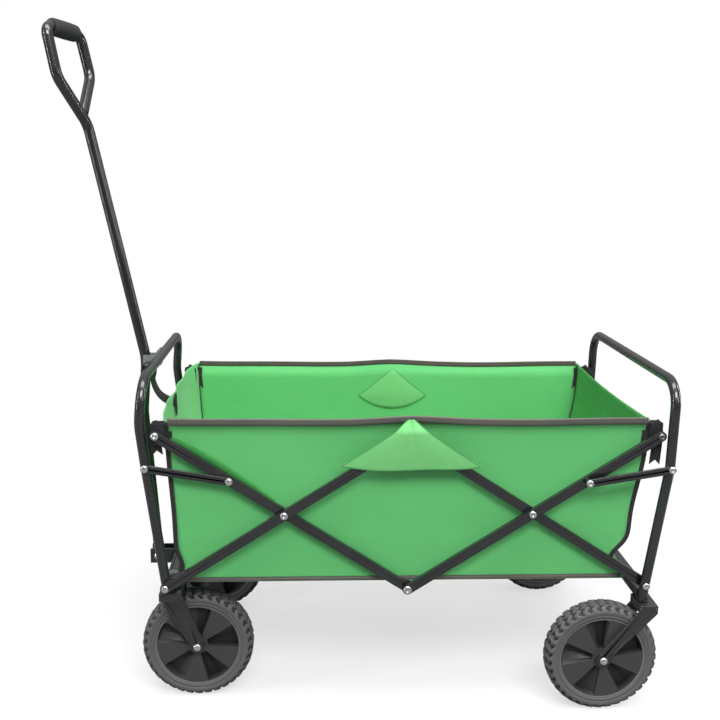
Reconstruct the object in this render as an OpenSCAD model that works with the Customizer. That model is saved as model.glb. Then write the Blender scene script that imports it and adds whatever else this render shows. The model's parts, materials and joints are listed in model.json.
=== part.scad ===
// Folding wagon with a fabric tub, two hoop frames, scissor sides and an upright pull handle.
// Millimetres. +Z up, -X the front where the handle is, origin on the ground under the middle of the box.

/* [Fold] */
// Length of a scissor bar from its middle pivot to the centre of the wagon
arm_in = 238; // [215:1:260]
// Length of the upper bar ends from the middle pivot to the corner pivot
arm_top = 240; // [225:1:250]
// Length of the lower bar ends from the middle pivot to the foot pivot
arm_foot = 228; // [205:1:240]
// Angle of the scissor bars above level with the wagon open, degrees
open_angle = 32.7; // [28:0.1:38]
// Height of the lower centre pivot
centre_z = 212; // [206:1:230]

/* [Frame] */
// Height of the top bar of the hoops, to its middle
hoop_z = 557; // [530:1:600]
// Outside diameter of the hoop tube
hoop_d = 16; // [14:1:18]
// Half width of the front hoop, to the middle of its posts
front_half = 216; // [205:1:225]
// Width of the scissor bars seen from the side
bar_w = 16; // [13:1:18]
// Thickness of the scissor bars
bar_t = 8; // [6:0.5:9]
// Wall of tubes and bars
wall = 1.2; // [0.8:0.1:1.8]

/* [Wheels] */
// Diameter of all four wheels
wheel_d = 186; // [165:1:190]
// Width of the tyres
tyre_w = 40; // [30:1:44]
// Half track of the front castor wheels
front_track = 165.5; // [150:0.5:170]
// Half track of the rear wheels
rear_track = 228.5; // [222:0.5:240]
// Distance of the front wheel axles from the wagon's middle
front_axle_x = 348; // [330:1:360]
// Distance of the rear wheel axles from the wagon's middle
rear_axle_x = 325; // [310:1:330]

/* [Tub] */
// Length of the tub at its rim
rim_length = 772; // [720:2:780]
// Length of the tub at its floor
floor_length = 752; // [640:2:760]
// Height of the rim
rim_z = 498; // [488:1:510]
// Width of the tub inside its side panels
tub_w = 418; // [390:1:422]

/* [Handle] */
// Lean of the upper shaft forwards from upright, degrees
shaft_lean = 11.87; // [6:0.1:16]
// Length of the upper shaft from its bend to the start of the grip loop
shaft_top = 412; // [330:1:460]
// Turn of the grip loop about the shaft, degrees
grip_turn = 14.5; // [0:0.5:20]
// Diameter of the handle tube
shaft_d = 18; // [14:0.5:20]

/* [Hidden] */
$fn = 64;
fit = 0.05;                       // radial running clearance of a pivot
gap = 0.4;                        // side clearance between parts that move
bar_r = bar_w / 2;
hoop_r = hoop_d / 2;
shaft_r = shaft_d / 2;
ca = cos(open_angle);
sa = sin(open_angle);
cross_x = arm_in * ca;            // middle pivot of each scissor
cross_z = centre_z + arm_in * sa;
top_x = (arm_in + arm_top) * ca;  // corner pivot
top_z = centre_z + (arm_in + arm_top) * sa;
foot_x = cross_x + arm_foot * ca; // foot pivot on the post
foot_z = cross_z - arm_foot * sa;
upper_z = centre_z + 2 * arm_in * sa;
link_on_arm = 103.5;              // middle pivot to link pivot, along the upper arm
link_x = cross_x + link_on_arm * ca;
link_z = cross_z + link_on_arm * sa;
post_x = foot_x + 27.1;           // post at the link pivot
post_z = foot_z + 200.7;
post_lean = atan2(post_x - foot_x, post_z - foot_z);
mid_x = 84;                       // middle of the wheels' frame, from the origin

// layers across the wagon, outwards: inner bars, outer bars, posts, links
inner_y = front_half + hoop_r - bar_t / 2;
outer_y = inner_y + bar_t + 1;
rear_half = inner_y + bar_t / 2 + 0.5 + hoop_r;
link_t = 4;
front_link_y = front_half + hoop_r + gap + link_t / 2;
rear_link_y = rear_half + hoop_r + gap + link_t / 2;
bend_lap = 0.4;                   // length of a bend inside each straight tube
bend_step = 0.03;                 // how much thinner a bend is than the straight tubes
rivet_r = 3;
head_r = 6.2;
head_h = 3.2;

wheel_r = wheel_d / 2;
rim_r = 0.75 * wheel_r;
axle_r = 5;
trail = 40;
king_x = front_axle_x + trail;
king_r = 6;
crown_z = wheel_r * 2 + 3.5;
crown_t = 3.5;
beam_z = crown_z + crown_t + 4;   // underside of the front cross beam
beam_w = 22;
beam_h = 16;
arm_gap = tyre_w / 2 + 2.5;       // tyre middle to the inner face of a fork arm
plate_t = 3;
bridge_z = 175;
bridge_h = 14;
bridge_x = 395;
bridge_w = 30;

skin = 3;
side_y = tub_w / 2;
floor_z = centre_z + 10;
board_t = 4;
rim_half = rim_length / 2;
floor_half = floor_length / 2;
panel_top = upper_z + bar_r + 1;

pivot = [-438, 0, 182];           // handle hinge
knee = [-457.5, 0, 455];
neck = [-449.5, 0, 548];
s_dir = [-sin(shaft_lean), 0, cos(shaft_lean)];
e_dir = [cos(shaft_lean), 0, sin(shaft_lean)];
roll = 4.5;
v_dir = cos(roll) * (cos(grip_turn) * [0, 1, 0] + sin(grip_turn) * e_dir) - sin(roll) * s_dir;
function loop_at(t, v) = neck + t * s_dir + v * v_dir;
grip_up = shaft_top + 154;
loop = [loop_at(shaft_top, 0), loop_at(shaft_top + 73, -64), loop_at(grip_up, -59),
        loop_at(grip_up, 53), loop_at(shaft_top + 84, 53), loop_at(shaft_top + 18, -7)];

// ---- building blocks ----

module place() {
  translate([mid_x, 0, 0]) children();
}

module both_sides() {
  children();
  mirror([0, 1, 0]) children();
}

module rod(a, b, r) {
  v = b - a;
  l = norm(v);
  translate(a) rotate([0, acos(v[2] / l), atan2(v[1], v[0])]) cylinder(h = l, r = r);
}

// a cylinder along Y, from y0 to y1
module across(x, z, y0, y1, r) {
  translate([x, y0, z]) rotate([-90, 0, 0]) cylinder(h = y1 - y0, r = r);
}

function unit(v) = v / norm(v);
function turn(u, w) = acos(u * w);

// a bend of radius bend_r at point p, from direction u to direction w; it runs a little way into
// the straight tubes at both ends and is a hair thinner, so that they join as one solid
module elbow(p, u, w, bend_r, r) {
  phi = turn(u, w);
  lap = bend_lap / bend_r * 180 / PI;
  start = p - u * bend_r * tan(phi / 2);
  n = unit(w - (u * w) * u);
  c = start + bend_r * n;
  z = cross(-n, u);
  multmatrix([[-n[0], u[0], z[0], c[0]],
              [-n[1], u[1], z[1], c[1]],
              [-n[2], u[2], z[2], c[2]],
              [0, 0, 0, 1]])
    rotate(-lap) rotate_extrude(angle = phi + 2 * lap)
      translate([bend_r, 0]) circle(r = r - bend_step);
}

// a bent tube through points, with one bend radius for each inner point
module bent(points, radii, r) {
  last = len(points) - 1;
  for (i = [0 : last - 1]) {
    u = unit(points[i + 1] - points[i]);
    t0 = i == 0 ? 0 : radii[i - 1] * tan(turn(unit(points[i] - points[i - 1]), u) / 2);
    t1 = i == last - 1 ? 0
       : radii[i] * tan(turn(u, unit(points[i + 2] - points[i + 1])) / 2);
    rod(points[i] + u * t0, points[i + 1] - u * t1, r);
    if (i < last - 1)
      elbow(points[i + 1], u, unit(points[i + 2] - points[i + 1]), radii[i], r);
  }
}

// lays a flat outline, drawn along +X from pivot a to pivot b, upright in the side of the wagon
module in_side(a, b, y, t) {
  translate([a[0], y + t / 2, a[1]]) rotate([90, -atan2(b[1] - a[1], b[0] - a[0]), 0])
    linear_extrude(height = t) children();
}

// a square-ended bar from a to b
module bar(a, b, y, w, t) {
  in_side(a, b, y, t) translate([0, -w / 2]) square([norm(b - a), w]);
}

// a bar with round ends about a and b; its straight part is a hair narrower, so they meet cleanly
module rounded_bar(a, b, y, w, t) {
  in_side(a, b, y, t) {
    translate([0, bend_step - w / 2]) square([norm(b - a), w - 2 * bend_step]);
    circle(r = w / 2);
    translate([norm(b - a), 0]) circle(r = w / 2);
  }
}

// domed rivet head; s is the side of the wagon it faces, -1 near and 1 far
module head(x, z, y, s, r, h) {
  translate([x, y, z]) rotate([-90 * s, 0, 0]) {
    cylinder(h = h * 0.45, r = r);
    translate([0, 0, h * 0.45]) cylinder(h = h * 0.55, r1 = r, r2 = r * 0.55);
  }
}

// ---- scissor sides ----

module arm_pair(s, y) {
  c = [0, centre_z];
  x = [s * cross_x, cross_z];
  k = [s * link_x, link_z];
  t = [s * top_x, top_z];
  difference() {
    rounded_bar(c, t, -y, bar_w, bar_t);
    bar([s * 14 * ca, centre_z + 14 * sa], [s * (top_x - 14 * ca), top_z - 14 * sa], -y,
        bar_w - 2 * wall, bar_t - 2 * wall);
    across(c[0], c[1], -y - bar_t, -y + bar_t, axle_r + fit);
    across(t[0], t[1], -y - bar_t, -y + bar_t, rivet_r + fit);
    across(k[0], k[1], -y - bar_t, -y + bar_t, rivet_r + fit);
    across(x[0], x[1], -y - bar_t, -y + bar_t, rivet_r);
  }
}

module brace_pair(s, y, upper_r) {
  u = [0, upper_z];
  x = [s * cross_x, cross_z];
  f = [s * foot_x, foot_z];
  difference() {
    rounded_bar(f, u, -y, bar_w, bar_t);
    bar([s * (foot_x - 14 * ca), foot_z + 14 * sa], [s * 14 * ca, upper_z - 14 * sa], -y,
        bar_w - 2 * wall, bar_t - 2 * wall);
    across(u[0], u[1], -y - bar_t, -y + bar_t, upper_r);
    across(x[0], x[1], -y - bar_t, -y + bar_t, rivet_r + fit);
    across(f[0], f[1], -y - bar_t, -y + bar_t, rivet_r + fit);
  }
}

module front_arms() {
  color("#1a1b1d") place() both_sides() arm_pair(-1, inner_y);
}

module rear_arms() {
  color("#1a1b1d") place() both_sides() arm_pair(1, outer_y);
}

module front_braces() {
  color("#1a1b1d") place() both_sides() brace_pair(-1, outer_y, rivet_r);
}

module rear_braces() {
  color("#1a1b1d") place() both_sides() brace_pair(1, inner_y, rivet_r + fit);
}

// rivet through both layers of bars, with a head outside and a small one inside
module layer_rivet(x, z) {
  across(x, z, -outer_y - bar_t / 2 - gap, -inner_y + bar_t / 2 + gap, rivet_r);
  head(x, z, -outer_y - bar_t / 2 - gap, -1, head_r, head_h);
  across(x, z, -inner_y + bar_t / 2 + gap, -inner_y + bar_t / 2 + gap + 1.2, head_r - 1);
}

module front_cross_rivets() {
  color("#c9ccd0") place() both_sides() layer_rivet(-cross_x, cross_z);
}

module rear_cross_rivets() {
  color("#c9ccd0") place() both_sides() layer_rivet(cross_x, cross_z);
}

module upper_centre_rivets() {
  color("#c9ccd0") place() both_sides() layer_rivet(0, upper_z);
}

// thin washer that spaces the two layers at the front cross pivot
module front_arm_washers() {
  color("#8d9196") place() both_sides() difference() {
    across(-cross_x, cross_z, -inner_y - bar_t / 2 - 0.6, -inner_y - bar_t / 2, bar_r - 1.5);
    across(-cross_x, cross_z, -inner_y - bar_t, -inner_y, rivet_r);
  }
}

// ---- centre ----

module centre_tube() {
  color("#1a1b1d") place() difference() {
    across(0, centre_z, -inner_y + bar_t / 2 + gap, inner_y - bar_t / 2 - gap, 9);
    across(0, centre_z, -inner_y, inner_y, axle_r);
  }
}

module centre_rod() {
  color("#8d9196") place()
    across(0, centre_z, -outer_y - bar_t / 2 - gap, outer_y + bar_t / 2 + gap, axle_r);
}

module centre_heads() {
  color("#c9ccd0") place() both_sides()
    head(0, centre_z, -outer_y - bar_t / 2 - gap, -1, head_r + 1, head_h);
}

// ---- short links from the posts to the arms ----

module link_pair(s, y) {
  k = [s * link_x, link_z];
  p = [s * post_x, post_z];
  d = unit(p - k) * (bar_w - 2);
  difference() {
    rounded_bar(k, p, -y, bar_w - 3, link_t);
    across(k[0], k[1], -y - link_t, -y + link_t, rivet_r);
    across(p[0], p[1], -y - link_t, -y + link_t, rivet_r);
    bar(k + d, p - d, -y + link_t / 2 + 1, bar_w - 7, link_t);
  }
}

module link_rivet_pair(s, y, arm_y) {
  across(s * link_x, link_z, -y - link_t / 2, -arm_y + bar_t / 2, rivet_r);
  head(s * link_x, link_z, -y - link_t / 2, -1, head_r, head_h);
  across(s * post_x, post_z, -y - link_t / 2, -y + link_t / 2, rivet_r);
  head(s * post_x, post_z, -y - link_t / 2, -1, head_r, head_h);
}

module front_links() {
  color("#1a1b1d") place() both_sides() link_pair(-1, front_link_y);
}

module front_link_rivets() {
  color("#c9ccd0") place() both_sides() link_rivet_pair(-1, front_link_y, inner_y);
}

module rear_links() {
  color("#1a1b1d") place() both_sides() link_pair(1, rear_link_y);
}

module rear_link_rivets() {
  color("#c9ccd0") place() both_sides() {
    link_rivet_pair(1, rear_link_y, outer_y);
    difference() {
      across(link_x, link_z, -rear_link_y + link_t / 2, -outer_y - bar_t / 2 - gap, head_r);
      across(link_x, link_z, -rear_link_y, -outer_y, rivet_r);
    }
  }
}

// ---- corner caps that carry the tub ----

cap_in = 20;                      // a cap's depth into the tub's corner

module cap_pair(s) {
  y0 = -inner_y + bar_t / 2 + gap;
  difference() {
    union() {
      across(s * top_x, top_z, y0, y0 + 3, bar_r);
      translate([s > 0 ? rim_half + 1 : -top_x - 7, y0, top_z - 18])
        cube([top_x + 7 - rim_half - 1, cap_in, 36]);
    }
    across(s * top_x, top_z, y0 - 1, y0 + 14, rivet_r);
    translate([s > 0 ? rim_half : -top_x - 4, y0 + 5, top_z - 15])
      cube([top_x + 4 - rim_half, cap_in - 8, 40]);
  }
}

module cap_screw_pair(s, y) {
  y0 = -inner_y + bar_t / 2 + gap;
  across(s * top_x, top_z, -y - bar_t / 2 - gap, y0 + 4.5, rivet_r);
  head(s * top_x, top_z, -y - bar_t / 2 - gap, -1, head_r + 0.3, head_h + 0.6);
}

module front_corner_caps() {
  color("#26272a") place() both_sides() cap_pair(-1);
}

module front_corner_screws() {
  color("#c9ccd0") place() both_sides() cap_screw_pair(-1, inner_y);
}

module rear_corner_caps() {
  color("#26272a") place() both_sides() cap_pair(1);
}

module rear_corner_screws() {
  color("#4a4c50") place() both_sides() cap_screw_pair(1, outer_y);
}

// ---- hoops, posts and beams ----

// low is the height of the lowest point of a post's slanted end
function post_end(s, y, low) = let (z = low + hoop_r * sin(post_lean))
  [s * (foot_x - (foot_z - z) * tan(post_lean)), y, z];
// half of a hoop, from a post's end to the bar; the post bows outwards by bow, if any
function half_hoop(s, y, low, bow) = concat(
  [post_end(s, y, low), [s * post_x, y, post_z]],
  bow > 0 ? [[s * (post_x + bow), y, hoop_z - 70]] : [],
  [[s * (post_x + 2), y, hoop_z]]);
function backwards(list) = [for (i = [len(list) - 1 : -1 : 0]) list[i]];
function hoop_points(s, y, low, bow) =
  concat(half_hoop(s, -y, low, bow), backwards(half_hoop(s, y, low, bow)));
front_bow = 8;
plain_bends = [120, 42, 42, 120];
bowed_bends = [120, 120, 46, 46, 120, 120];
front_low = beam_z + 8;
rear_low = bridge_z + bridge_h;

module hoop_tube(s, y, low, bow, bends) {
  difference() {
    bent(hoop_points(s, y, low, bow), bends, hoop_r);
    bent(hoop_points(s, y, low - 1, bow), bends, hoop_r - wall);
  }
}

module front_hoop() {
  color("#17181a") place() difference() {
    hoop_tube(-1, front_half, front_low, front_bow, bowed_bends);
    both_sides() across(-foot_x, foot_z, -front_half - 12, -front_half + 12, rivet_r);
  }
}

module rear_hoop() {
  color("#17181a") place() difference() {
    hoop_tube(1, rear_half, rear_low, 0, plain_bends);
    both_sides() across(foot_x, foot_z, -rear_half - 12, -rear_half + 12, rivet_r);
  }
}

module front_beam() {
  h = front_half - hoop_r - 0.5;
  color("#17181a") place() difference() {
    translate([-king_x - beam_w / 2, -h, beam_z]) cube([beam_w, 2 * h, beam_h]);
    translate([-king_x - beam_w / 2 + wall, -h - 1, beam_z + wall])
      cube([beam_w - 2 * wall, 2 * h + 2, beam_h - 2 * wall]);
    both_sides() translate([-king_x, -front_track, beam_z - 1])
      cylinder(h = beam_h + 2, r = king_r + fit);
  }
}

// pressed box that closes the foot of a front post and takes the end of the beam
module front_feet() {
  y0 = -front_half - hoop_r;
  color("#1f2023") place() both_sides() difference() {
    translate([-king_x - 16, y0, beam_z - 6]) cube([36, hoop_d, front_low - beam_z + 6]);
    translate([-king_x - 13, y0 + 3, beam_z - 7]) cube([30, hoop_d - 6, 10]);
  }
}

module front_foot_bolts() {
  color("#c9ccd0") place() both_sides() {
    across(-foot_x, foot_z, -outer_y - bar_t / 2 - gap, -front_half + hoop_r, rivet_r);
    head(-foot_x, foot_z, -outer_y - bar_t / 2 - gap, -1, head_r, head_h);
  }
}

module rear_foot_bolts() {
  color("#c9ccd0") place() both_sides() {
    across(foot_x, foot_z, -rear_half - hoop_r, -inner_y + bar_t / 2, rivet_r);
    head(foot_x, foot_z, -rear_half - hoop_r, -1, head_r, head_h);
  }
}

module rear_beam() {
  h = rear_half - hoop_r - 1.5;
  z0 = rear_low + 0.3;
  color("#17181a") place() difference() {
    translate([bridge_x - 12, -h, z0]) cube([20, 2 * h, 16]);
    translate([bridge_x - 12 + wall, -h - 1, z0 + wall])
      cube([20 - 2 * wall, 2 * h + 2, 16 - 2 * wall]);
  }
}

// one pressed arm of a fork, from its top edge down to the axle; s is +1 or -1 for its lean
module fork_arm(x0, x1, z_top, ax, y) {
  r = 12;
  translate([0, y + plate_t, 0]) rotate([90, 0, 0]) linear_extrude(height = plate_t)
    polygon([[x0, z_top], [x1, z_top], [x1, z_top - 14],
             [ax + r * 0.94, wheel_r + r * 0.34], [ax + r * 0.7, wheel_r - r * 0.71],
             [ax, wheel_r - r], [ax - r * 0.7, wheel_r - r * 0.71],
             [ax - r * 0.98, wheel_r + r * 0.1], [x0, z_top - 14]]);
}

module fork(x0, x1, z_top, top_t, ax, track, hole_r) {
  y0 = -track - arm_gap - plate_t;
  y1 = -track + arm_gap;
  difference() {
    union() {
      translate([x0, y0, z_top - top_t]) cube([x1 - x0, y1 + plate_t - y0, top_t]);
      fork_arm(x0, x1, z_top, ax, y0);
      fork_arm(x0, x1, z_top, ax, y1);
    }
    across(ax, wheel_r, y0 - 5, y1 + 10, axle_r);
    if (hole_r > 0)
      translate([-king_x, -track, z_top - top_t - 1]) cylinder(h = top_t + 2, r = hole_r);
  }
}

module axle(ax, track, near) {
  y0 = -track - arm_gap - plate_t;
  y1 = -track + arm_gap + plate_t;
  across(ax, wheel_r, y0, y1, axle_r);
  head(ax, wheel_r, y0, -1, 8, 5);
  across(ax, wheel_r, y1, y1 + 5, 8);
}

module rear_forks() {
  x0 = bridge_x - bridge_w / 2;
  color("#1f2023") place() both_sides()
    fork(x0, x0 + bridge_w, rear_low, bridge_h, rear_axle_x, rear_track, 0);
}

module rear_axles() {
  color("#c9ccd0") place() both_sides() axle(rear_axle_x, rear_track);
}

// ---- handle mount ----

ear_y = shaft_r + gap + 1;

module handle_bracket() {
  color("#1f2023") place() difference() {
    union() {
      translate([-king_x - beam_w / 2 - 4, -ear_y - 3, 168]) cube([4, 2 * ear_y + 6, 42]);
      both_sides() translate([pivot[0] - 14, -ear_y - 3, 168])
        cube([-king_x - beam_w / 2 - pivot[0] + 10.5, 3, 28]);
    }
    across(pivot[0], pivot[2], -40, 40, 4);
  }
}

module handle_hinge_bolt() {
  color("#c9ccd0") place() {
    across(pivot[0], pivot[2], -ear_y - 3, ear_y + 3, 4);
    head(pivot[0], pivot[2], -ear_y - 3, -1, 7, 4);
    across(pivot[0], pivot[2], ear_y + 3, ear_y + 7, 7);
  }
}

// a saddle on the front of the hoop's bar, with a square-bottomed fork that is open at the front
module handle_clip() {
  cx = -post_x - 2;
  clip_y = shaft_r + gap;
  half = clip_y + 3.5;
  clip_z = hoop_z - 18;
  reach = 32;
  web = 1.6;
  color("#5b5e63") place() difference() {
    union() {
      across(cx, hoop_z, -half, half, hoop_r + 3);
      translate([cx - reach, -half, clip_z]) cube([reach, 2 * half, 18.5]);
    }
    translate([cx - 2, -half - 1, hoop_z - 30]) cube([30, 2 * half + 2, 60]);
    across(cx, hoop_z, -half - 1, half + 1, hoop_r);
    translate([cx - reach - 1, -clip_y, clip_z - 12])
      cube([reach + 1 - hoop_r - web, 2 * clip_y, 60]);
  }
}

// ---- pull handle ----

module handle_tube() {
  path = concat([pivot - 12 * unit(knee - pivot), knee, neck], loop);
  bends = [120, 120, 40, 32, 16, 16, 32];
  color("#141518") place() difference() {
    bent(path, bends, shaft_r);
    across(pivot[0], pivot[2], -20, 20, 4 + fit);
  }
}

module handle_grip() {
  color("#202123") place() difference() {
    rod(loop_at(grip_up, -42), loop_at(grip_up, 36), 14.5);
    rod(loop_at(grip_up, -44), loop_at(grip_up, 38), shaft_r);
  }
}

// ---- castors and wheels ----

module castor_fork() {
  fork(-king_x - 18, -king_x + 18, crown_z + crown_t, crown_t, -front_axle_x, front_track, king_r);
}

module castor_kingpin() {
  translate([-king_x, -front_track, crown_z]) cylinder(h = beam_z + beam_h + 0.5 - crown_z, r = king_r);
  translate([-king_x, -front_track, beam_z + beam_h + 0.5]) cylinder(h = 5, r = 9, $fn = 6);
  translate([-king_x, -front_track, crown_z + crown_t]) difference() {
    cylinder(h = 3.5, r = 13);
    translate([0, 0, -1]) cylinder(h = 6, r = king_r);
  }
}

module castor_near_fork() {
  color("#1f2023") place() castor_fork();
}

module castor_far_fork() {
  color("#1f2023") place() mirror([0, 1, 0]) castor_fork();
}

module castor_near_kingpin() {
  color("#8d9196") place() castor_kingpin();
}

module castor_far_kingpin() {
  color("#8d9196") place() mirror([0, 1, 0]) castor_kingpin();
}

module castor_near_axle() {
  color("#c9ccd0") place() axle(-front_axle_x, front_track);
}

module castor_far_axle() {
  color("#c9ccd0") place() mirror([0, 1, 0]) axle(-front_axle_x, front_track);
}

spokes = 5;
front_spoke_turn = 14;            // how far the wheels have rolled
rear_spoke_turn = 28;
hub_half = tyre_w / 2 - 3;
web_t = 5;

module wheel_hub() {
  difference() {
    cylinder(h = 2 * hub_half, r = rim_r, center = true);
    for (i = [0 : spokes - 1]) rotate(i * 360 / spokes) hub_pockets();
    cylinder(h = 60, r = axle_r + fit, center = true);
  }
  for (s = [0, 1]) mirror([0, 0, s]) translate([0, 0, hub_half]) difference() {
    cylinder(h = 3.5, r = 13);
    translate([0, 0, -1]) cylinder(h = 6, r = axle_r + fit);
  }
}

module hub_pockets() {
  for (s = [0, 1]) mirror([0, 0, s]) intersection() {
    translate([0, 0, web_t / 2]) difference() {
      cylinder(h = 30, r = rim_r - 5);
      translate([0, 0, -1]) cylinder(h = 32, r = 17);
    }
    linear_extrude(height = 40) polygon([[0, 0], [80, 24], [80, -24]]);
  }
}

module tyre() {
  h = tyre_w / 2;
  rotate_extrude() polygon([
    [rim_r, -h + 2], [rim_r + 5, -h + 0.5], [wheel_r - 9, -h], [wheel_r - 3, -h + 4],
    [wheel_r, -h + 10], [wheel_r, h - 10], [wheel_r - 3, h - 4], [wheel_r - 9, h],
    [rim_r + 5, h - 0.5], [rim_r, h - 2]]);
}

module at_wheel(x, y) {
  turned = x < 0 ? front_spoke_turn : rear_spoke_turn;
  place() translate([x, y, wheel_r]) rotate([90, 0, 0]) rotate(turned) children();
}

module wheel_front_near_hub() {
  color("#2b2c2e") at_wheel(-front_axle_x, -front_track) wheel_hub();
}

module wheel_front_near_tyre() {
  color("#1d1e20") at_wheel(-front_axle_x, -front_track) tyre();
}

module wheel_front_far_hub() {
  color("#2b2c2e") at_wheel(-front_axle_x, front_track) wheel_hub();
}

module wheel_front_far_tyre() {
  color("#1d1e20") at_wheel(-front_axle_x, front_track) tyre();
}

module wheel_rear_near_hub() {
  color("#2b2c2e") at_wheel(rear_axle_x, -rear_track) wheel_hub();
}

module wheel_rear_near_tyre() {
  color("#1d1e20") at_wheel(rear_axle_x, -rear_track) tyre();
}

module wheel_rear_far_hub() {
  color("#2b2c2e") at_wheel(rear_axle_x, rear_track) wheel_hub();
}

module wheel_rear_far_tyre() {
  color("#1d1e20") at_wheel(rear_axle_x, rear_track) tyre();
}

// ---- fabric tub ----

module side_panel() {
  translate([0, -side_y, 0]) rotate([90, 0, 0]) linear_extrude(height = skin)
    polygon([[-floor_half, floor_z], [floor_half, floor_z],
             [rim_half - 2, panel_top], [-rim_half + 2, panel_top]]);
}

module end_panel(s) {
  h = side_y - 0.5;
  translate([0, h, 0]) rotate([90, 0, 0]) linear_extrude(height = 2 * h)
    polygon([[s * floor_half, floor_z], [s * (floor_half - skin), floor_z],
             [s * (rim_half - skin), rim_z - 2], [s * rim_half, rim_z - 2]]);
}

// folded hem along the top of a side, flared out over the ends of the bars
module rim() {
  y = -side_y - skin;
  h = rim_half - 1;
  translate([-h, 0, 0]) rotate([90, 0, 90]) linear_extrude(height = 2 * h)
    polygon([[y - 1, panel_top + 0.4], [y + 3, panel_top + 0.4], [y - 5, rim_z - 8],
             [y - 5, rim_z + 2], [y - 12, rim_z + 2], [y - 12, rim_z - 10]]);
}

module flap() {
  y = -outer_y - bar_t / 2 - gap - head_h - 1;
  intersection() {
    translate([-130, 0, 0]) rotate([90, 0, 90]) linear_extrude(height = 260)
      polygon([[-side_y - skin - 12.4, rim_z - 4], [-side_y - skin - 12.4, rim_z + 2],
               [y - 2, rim_z - 10], [y - 2, 416], [y, 416], [y, rim_z - 13]]);
    translate([0, -100, 0]) rotate([90, 0, 0]) linear_extrude(height = 200)
      polygon([[-112, 421], [0, 416], [114, 421], [9, 503], [-1, 503]]);
  }
}

module tub_side_near() {
  color("#3fae49") place() side_panel();
}

module tub_side_far() {
  color("#3fae49") place() mirror([0, 1, 0]) side_panel();
}

module tub_front() {
  color("#379c41") place() end_panel(-1);
}

module tub_rear() {
  color("#379c41") place() end_panel(1);
}

module tub_floor() {
  h = floor_half - skin - 0.5;
  color("#2f8c39") place() translate([-h, -side_y + 0.5, floor_z])
    cube([2 * h, 2 * side_y - 1, 2]);
}

module floor_boards() {
  board = (2 * (floor_half - skin) - 16) / 4;
  color("#2f8c39") place() for (i = [-2 : 1])
    translate([i * (board + 3) + 1.5, -side_y + 6, floor_z + 2.3])
      cube([board, 2 * side_y - 12, board_t]);
}

module rim_near() {
  color("#5a564c") place() rim();
}

module rim_far() {
  color("#5a564c") place() mirror([0, 1, 0]) rim();
}

module flap_near() {
  color("#3fae49") place() flap();
}

module flap_far() {
  color("#3fae49") place() mirror([0, 1, 0]) flap();
}

// webbing strap that ties the tub's front to the hoop's top bar
module tub_strap() {
  a = [-post_x + hoop_r, -112, hoop_z - 14];
  b = [-rim_half - 3, -48, rim_z - 10];
  u = unit(b - a);
  n = unit(cross(u, [0, 0, 1]));
  w = cross(n, u);
  color("#1b1c1e") place() multmatrix([[u[0], w[0], n[0], a[0]],
                                       [u[1], w[1], n[1], a[1]],
                                       [u[2], w[2], n[2], a[2]],
                                       [0, 0, 0, 1]])
    translate([0, -9, -0.8]) cube([norm(b - a), 18, 1.6]);
}

centre_tube();
centre_rod();
centre_heads();
front_arms();
front_cross_rivets();
front_arm_washers();
rear_arms();
rear_cross_rivets();
front_braces();
upper_centre_rivets();
rear_braces();
front_links();
front_link_rivets();
rear_links();
rear_link_rivets();
front_corner_caps();
front_corner_screws();
rear_corner_caps();
rear_corner_screws();
front_hoop();
front_beam();
front_feet();
front_foot_bolts();
handle_bracket();
handle_hinge_bolt();
handle_clip();
rear_hoop();
rear_beam();
rear_forks();
rear_foot_bolts();
rear_axles();
handle_tube();
handle_grip();
castor_near_fork();
castor_near_kingpin();
castor_near_axle();
castor_far_fork();
castor_far_kingpin();
castor_far_axle();
wheel_front_near_hub();
wheel_front_near_tyre();
wheel_front_far_hub();
wheel_front_far_tyre();
wheel_rear_near_hub();
wheel_rear_near_tyre();
wheel_rear_far_hub();
wheel_rear_far_tyre();
tub_side_near();
tub_side_far();
tub_front();
tub_rear();
tub_floor();
floor_boards();
rim_near();
rim_far();
flap_near();
flap_far();
tub_strap();
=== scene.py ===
# %% [markdown]
# # A folding wagon with a fabric tub
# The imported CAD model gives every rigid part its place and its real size. This lesson dresses it:
# it gives metal, plastic and rubber their finishes, sews the tub, cuts the tread, and lights it all.
# Everything is in metres, with +Z up, and the pull handle is at the -X end.

# %% The frame
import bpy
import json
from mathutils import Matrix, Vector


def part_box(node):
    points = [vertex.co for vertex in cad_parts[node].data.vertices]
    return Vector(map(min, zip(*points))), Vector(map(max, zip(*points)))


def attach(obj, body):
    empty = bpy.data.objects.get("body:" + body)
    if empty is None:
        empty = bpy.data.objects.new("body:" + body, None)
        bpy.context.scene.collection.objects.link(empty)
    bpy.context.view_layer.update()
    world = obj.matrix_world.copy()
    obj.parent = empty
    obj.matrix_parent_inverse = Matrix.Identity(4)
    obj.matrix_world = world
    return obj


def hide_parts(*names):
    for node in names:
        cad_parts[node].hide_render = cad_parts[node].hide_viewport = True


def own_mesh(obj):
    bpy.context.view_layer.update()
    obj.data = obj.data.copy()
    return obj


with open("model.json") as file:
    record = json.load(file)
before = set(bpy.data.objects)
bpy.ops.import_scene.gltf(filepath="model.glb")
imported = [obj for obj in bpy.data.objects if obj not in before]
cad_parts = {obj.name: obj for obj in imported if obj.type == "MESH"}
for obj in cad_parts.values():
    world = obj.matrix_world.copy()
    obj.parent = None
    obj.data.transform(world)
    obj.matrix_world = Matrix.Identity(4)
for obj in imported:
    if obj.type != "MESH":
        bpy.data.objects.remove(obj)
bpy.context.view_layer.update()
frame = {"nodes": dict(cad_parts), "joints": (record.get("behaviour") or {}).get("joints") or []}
import json
import math

import bpy
import numpy as np
from mathutils import Matrix, Vector, noise

JOINTS = {j["name"]: j for j in frame["joints"]}
NODES = frame["nodes"]

# %% [markdown]
# ## Landmarks
# A maker marks out the work before cutting. The pivots come from the joints and the sizes of the tub
# from the boxes of its CAD panels, so nothing here has to be measured twice.

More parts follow.
